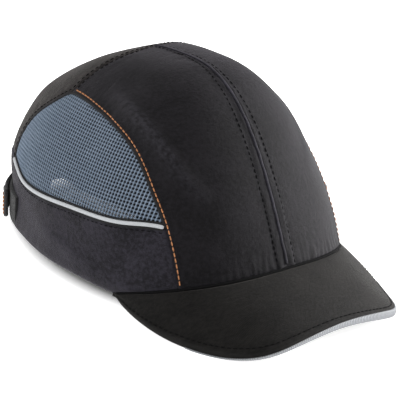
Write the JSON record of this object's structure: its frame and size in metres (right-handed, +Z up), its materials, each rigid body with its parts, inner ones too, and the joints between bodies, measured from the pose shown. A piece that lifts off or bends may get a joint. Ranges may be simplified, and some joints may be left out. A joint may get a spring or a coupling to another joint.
{
  "type": "bump cap",
  "caption": "Soft-topped safety bump cap with a curved brim, open mesh side windows, a padded plastic insert and a hook-and-loop strap at the back.",
  "frame": {"origin": "centre of the underside of the bounding box, at the height of the surface the cap stands on", "axes": "+Z up, -Y towards the brim, +X towards the wearer's left"},
  "size_m": [0.172, 0.2643, 0.1227],
  "materials": {
    "shell_cloth": "matt woven polyester",
    "rear_cloth": "matt woven polyester, slightly lighter",
    "mesh_cloth": "open knitted mesh",
    "piping": "light grey piping",
    "tape": "woven tape",
    "brim_cloth": "matt woven polyester",
    "board": "plain sheet",
    "reflective_trim": "silver reflective tape",
    "sweatband_cloth": "terry cloth",
    "insert_plastic": "moulded, satin",
    "foam": "foam pad",
    "label": "woven label, blank",
    "hook_loop": "hook and loop",
    "strap_web": "woven webbing"
  },
  "bodies": {
    "cap": {"front_panel_left": "shell_cloth", "front_panel_right": "shell_cloth", "rear_panel": "rear_cloth", "mesh_panel_left": "mesh_cloth", "mesh_panel_right": "mesh_cloth", "side_band_left": "shell_cloth", "side_band_right": "shell_cloth", "piping_left": "piping", "piping_right": "piping", "centre_seam_tape": "tape", "cross_seam_tape": "tape", "rear_opening_binding": "tape", "brim_top_cover": "brim_cloth", "brim_board": "board", "brim_under_cover": "brim_cloth", "brim_edge_trim": "reflective_trim", "sweatband": "sweatband_cloth", "insert_shell": "insert_plastic", "front_pad": "foam", "rear_pad": "foam", "side_pad_left": "foam", "side_pad_right": "foam", "crown_pad": "foam", "insert_tabs": "tape", "care_label": "label", "loop_patch": "hook_loop", "strap_anchor": "shell_cloth"},
    "strap": {"closure_strap": "strap_web"},
    "strap_end": {"strap_tab": "strap_web", "hook_patch": "hook_loop"}
  },
  "joints": [
    {"name": "strap_adjust", "type": "hinge", "parent": "cap", "child": "strap", "pos_m": [0, 0.05317, 0.01625], "axis": [0, 0.06, 0.9982], "range_deg": [-9, 8]},
    {"name": "strap_peel", "type": "hinge", "parent": "strap", "child": "strap_end", "pos_m": [-0.04643, 0.11697, 0.01241], "axis": [0, -0.06, -0.9982], "range_deg": [0, 70]}
  ]
}
